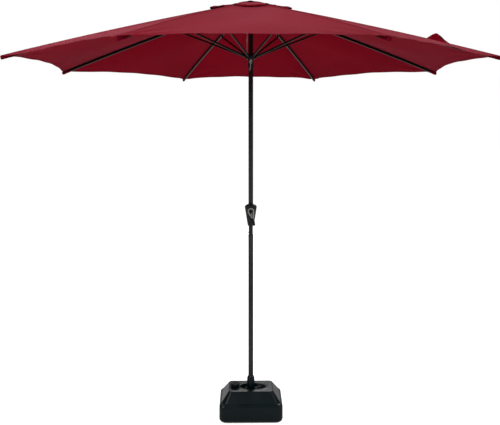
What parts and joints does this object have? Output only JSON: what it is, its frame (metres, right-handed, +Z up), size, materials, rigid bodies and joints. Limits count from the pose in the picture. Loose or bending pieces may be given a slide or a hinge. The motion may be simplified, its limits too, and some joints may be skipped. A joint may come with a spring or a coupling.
{
  "type": "patio umbrella with base",
  "caption": "Market umbrella with a vented cloth canopy, folding ribs and struts, a sectional crank-operated pole and a water-filled base.",
  "frame": {"origin": "on the ground under the pole's axis, which is the centre of the canopy and of the base", "axes": "+Z up along the pole, the crank faces -Y, and +X is to the right of a person facing the crank"},
  "size_m": [2.777, 2.777, 2.679],
  "materials": {
    "steel": "satin",
    "frame_plastic": "satin",
    "crank_plastic": "satin",
    "base_plastic": "satin",
    "zinc": "satin",
    "canopy_cloth": "matte",
    "cord": "matte",
    "water": "gloss"
  },
  "bodies": {
    "base": {"base_tank": "base_plastic", "water_ballast": "water", "socket_tube": "base_plastic"},
    "lower_mast": {"lower_pole": "steel", "joint_bush": "frame_plastic"},
    "upper_mast": {"upper_pole": "steel", "neck_tube": "steel", "crank_housing_front": "frame_plastic", "crank_housing_back": "frame_plastic", "crown_hub": "frame_plastic", "crown_pin_ring": "zinc", "crown_cover": "frame_plastic", "finial": "frame_plastic", "vent_cap": "canopy_cloth", "lift_cord": "cord", "hoist_cord": "cord"},
    "runner_body": {"runner": "frame_plastic", "cord_tail": "cord"},
    "crank": {"winch_drum": "zinc", "crank_arm": "crank_plastic", "crank_screw": "frame_plastic"},
    "knob": {"crank_knob": "frame_plastic"},
    "pulley": {"crown_pulley": "frame_plastic"},
    "button": {"lock_button": "zinc"},
    "cap": {"filler_cap": "frame_plastic"},
    "left_screw": {"clamp_screw_left": "zinc"},
    "right_screw": {"clamp_screw_right": "zinc"},
    "rib_1_body": {"rib_1": "steel", "rib_tip_1": "frame_plastic", "canopy_panel_1": "canopy_cloth"},
    "strut_1_body": {"strut_1": "steel"},
    "rib_2_body": {"rib_2": "steel", "rib_tip_2": "frame_plastic", "canopy_panel_2": "canopy_cloth"},
    "strut_2_body": {"strut_2": "steel"},
    "rib_3_body": {"rib_3": "steel", "rib_tip_3": "frame_plastic", "canopy_panel_3": "canopy_cloth"},
    "strut_3_body": {"strut_3": "steel"},
    "rib_4_body": {"rib_4": "steel", "rib_tip_4": "frame_plastic", "canopy_panel_4": "canopy_cloth"},
    "strut_4_body": {"strut_4": "steel"},
    "rib_5_body": {"rib_5": "steel", "rib_tip_5": "frame_plastic", "canopy_panel_5": "canopy_cloth"},
    "strut_5_body": {"strut_5": "steel"},
    "rib_6_body": {"rib_6": "steel", "rib_tip_6": "frame_plastic", "canopy_panel_6": "canopy_cloth"},
    "strut_6_body": {"strut_6": "steel"},
    "rib_7_body": {"rib_7": "steel", "rib_tip_7": "frame_plastic", "canopy_panel_7": "canopy_cloth"},
    "strut_7_body": {"strut_7": "steel"},
    "rib_8_body": {"rib_8": "steel", "rib_tip_8": "frame_plastic", "canopy_panel_8": "canopy_cloth", "tie_strap": "canopy_cloth"},
    "strut_8_body": {"strut_8": "steel"}
  },
  "joints": [
    {"name": "runner_slide", "type": "slide", "parent": "upper_mast", "child": "runner_body", "axis": [0, 0, -1], "range_m": [0, 0.7033], "deforming": ["vent_cap", "lift_cord"]},
    {"name": "pole_lift", "type": "slide", "parent": "base", "child": "lower_mast", "axis": [0, 0, 1], "range_m": [0, 0.22]},
    {"name": "upper_pole_lift", "type": "slide", "parent": "lower_mast", "child": "upper_mast", "axis": [0, 0, 1], "range_m": [0, 0.09]},
    {"name": "crank_turn", "type": "hinge", "parent": "upper_mast", "child": "crank", "pos_m": [0, -0.033, 1.318], "axis": [0, -1, 0], "range_deg": [0, 3240]},
    {"name": "knob_spin", "type": "hinge", "parent": "crank", "child": "knob", "pos_m": [0.02, -0.06, 1.241], "axis": [0, -1, 0], "continuous": true},
    {"name": "pulley_turn", "type": "hinge", "parent": "upper_mast", "child": "pulley", "pos_m": [-0.012, 0, 2.637], "axis": [0, -1, 0], "range_deg": [0, 3420]},
    {"name": "button_press", "type": "slide", "parent": "upper_mast", "child": "button", "axis": [1, 0, 0], "range_m": [0, 0.003], "stiffness_N_per_m": 300, "springref_m": -0.004},
    {"name": "cap_turn", "type": "hinge", "parent": "base", "child": "cap", "pos_m": [-0.102, -0.008, 0.195], "axis": [0, 0, 1], "range_deg": [0, 720]},
    {"name": "left_screw_turn", "type": "hinge", "parent": "base", "child": "left_screw", "pos_m": [-0.03, 0, 0.17], "axis": [-1, 0, 0], "range_deg": [0, 1080]},
    {"name": "right_screw_turn", "type": "hinge", "parent": "base", "child": "right_screw", "pos_m": [0.04, 0, 0.17], "axis": [1, 0, 0], "range_deg": [0, 1080]},
    {"name": "rib_1_fold", "type": "hinge", "parent": "upper_mast", "child": "rib_1_body", "pos_m": [0.04619, 0.01913, 2.646], "axis": [-0.3827, 0.9239, 0], "range_deg": [0, 70.92], "deforming": ["canopy_panel_1"]},
    {"name": "strut_1_fold", "type": "hinge", "parent": "rib_1_body", "child": "strut_1_body", "pos_m": [0.49027, 0.20308, 2.50815], "axis": [0.3827, -0.9239, 0], "range_deg": [0, 134.27]},
    {"name": "rib_2_fold", "type": "hinge", "parent": "upper_mast", "child": "rib_2_body", "pos_m": [0.01913, 0.04619, 2.646], "axis": [-0.9239, 0.3827, 0], "range_deg": [0, 70.92], "deforming": ["canopy_panel_2"]},
    {"name": "strut_2_fold", "type": "hinge", "parent": "rib_2_body", "child": "strut_2_body", "pos_m": [0.20308, 0.49027, 2.50815], "axis": [0.9239, -0.3827, 0], "range_deg": [0, 134.27]},
    {"name": "rib_3_fold", "type": "hinge", "parent": "upper_mast", "child": "rib_3_body", "pos_m": [-0.01913, 0.04619, 2.646], "axis": [-0.9239, -0.3827, 0], "range_deg": [0, 70.92], "deforming": ["canopy_panel_3"]},
    {"name": "strut_3_fold", "type": "hinge", "parent": "rib_3_body", "child": "strut_3_body", "pos_m": [-0.20308, 0.49027, 2.50815], "axis": [0.9239, 0.3827, 0], "range_deg": [0, 134.27]},
    {"name": "rib_4_fold", "type": "hinge", "parent": "upper_mast", "child": "rib_4_body", "pos_m": [-0.04619, 0.01913, 2.646], "axis": [-0.3827, -0.9239, 0], "range_deg": [0, 70.92], "deforming": ["canopy_panel_4"]},
    {"name": "strut_4_fold", "type": "hinge", "parent": "rib_4_body", "child": "strut_4_body", "pos_m": [-0.49027, 0.20308, 2.50815], "axis": [0.3827, 0.9239, 0], "range_deg": [0, 134.27]},
    {"name": "rib_5_fold", "type": "hinge", "parent": "upper_mast", "child": "rib_5_body", "pos_m": [-0.04619, -0.01913, 2.646], "axis": [0.3827, -0.9239, 0], "range_deg": [0, 70.92], "deforming": ["canopy_panel_5"]},
    {"name": "strut_5_fold", "type": "hinge", "parent": "rib_5_body", "child": "strut_5_body", "pos_m": [-0.49027, -0.20308, 2.50815], "axis": [-0.3827, 0.9239, 0], "range_deg": [0, 134.27]},
    {"name": "rib_6_fold", "type": "hinge", "parent": "upper_mast", "child": "rib_6_body", "pos_m": [-0.01913, -0.04619, 2.646], "axis": [0.9239, -0.3827, 0], "range_deg": [0, 70.92], "deforming": ["canopy_panel_6"]},
    {"name": "strut_6_fold", "type": "hinge", "parent": "rib_6_body", "child": "strut_6_body", "pos_m": [-0.20308, -0.49027, 2.50815], "axis": [-0.9239, 0.3827, 0], "range_deg": [0, 134.27]},
    {"name": "rib_7_fold", "type": "hinge", "parent": "upper_mast", "child": "rib_7_body", "pos_m": [0.01913, -0.04619, 2.646], "axis": [0.9239, 0.3827, 0], "range_deg": [0, 70.92], "deforming": ["canopy_panel_7"]},
    {"name": "strut_7_fold", "type": "hinge", "parent": "rib_7_body", "child": "strut_7_body", "pos_m": [0.20308, -0.49027, 2.50815], "axis": [-0.9239, -0.3827, 0], "range_deg": [0, 134.27]},
    {"name": "rib_8_fold", "type": "hinge", "parent": "upper_mast", "child": "rib_8_body", "pos_m": [0.04619, -0.01913, 2.646], "axis": [0.3827, 0.9239, 0], "range_deg": [0, 70.92], "deforming": ["canopy_panel_8"]},
    {"name": "strut_8_fold", "type": "hinge", "parent": "rib_8_body", "child": "strut_8_body", "pos_m": [0.49027, -0.20308, 2.50815], "axis": [-0.3827, -0.9239, 0], "range_deg": [0, 134.27]}
  ],
  "couplings": [
    {"joint": "crank_turn", "follows": "runner_slide", "rad_per_m": 75},
    {"joint": "pulley_turn", "follows": "runner_slide", "rad_per_m": 80},
    {"joint": "rib_1_fold", "follows": "runner_slide", "rad_per_m": 1.7551},
    {"joint": "strut_1_fold", "follows": "runner_slide", "rad_per_m": 3.3247},
    {"joint": "rib_2_fold", "follows": "runner_slide", "rad_per_m": 1.7551},
    {"joint": "strut_2_fold", "follows": "runner_slide", "rad_per_m": 3.3247},
    {"joint": "rib_3_fold", "follows": "runner_slide", "rad_per_m": 1.7551},
    {"joint": "strut_3_fold", "follows": "runner_slide", "rad_per_m": 3.3247},
    {"joint": "rib_4_fold", "follows": "runner_slide", "rad_per_m": 1.7551},
    {"joint": "strut_4_fold", "follows": "runner_slide", "rad_per_m": 3.3247},
    {"joint": "rib_5_fold", "follows": "runner_slide", "rad_per_m": 1.7551},
    {"joint": "strut_5_fold", "follows": "runner_slide", "rad_per_m": 3.3247},
    {"joint": "rib_6_fold", "follows": "runner_slide", "rad_per_m": 1.7551},
    {"joint": "strut_6_fold", "follows": "runner_slide", "rad_per_m": 3.3247},
    {"joint": "rib_7_fold", "follows": "runner_slide", "rad_per_m": 1.7551},
    {"joint": "strut_7_fold", "follows": "runner_slide", "rad_per_m": 3.3247},
    {"joint": "rib_8_fold", "follows": "runner_slide", "rad_per_m": 1.7551},
    {"joint": "strut_8_fold", "follows": "runner_slide", "rad_per_m": 3.3247}
  ]
}
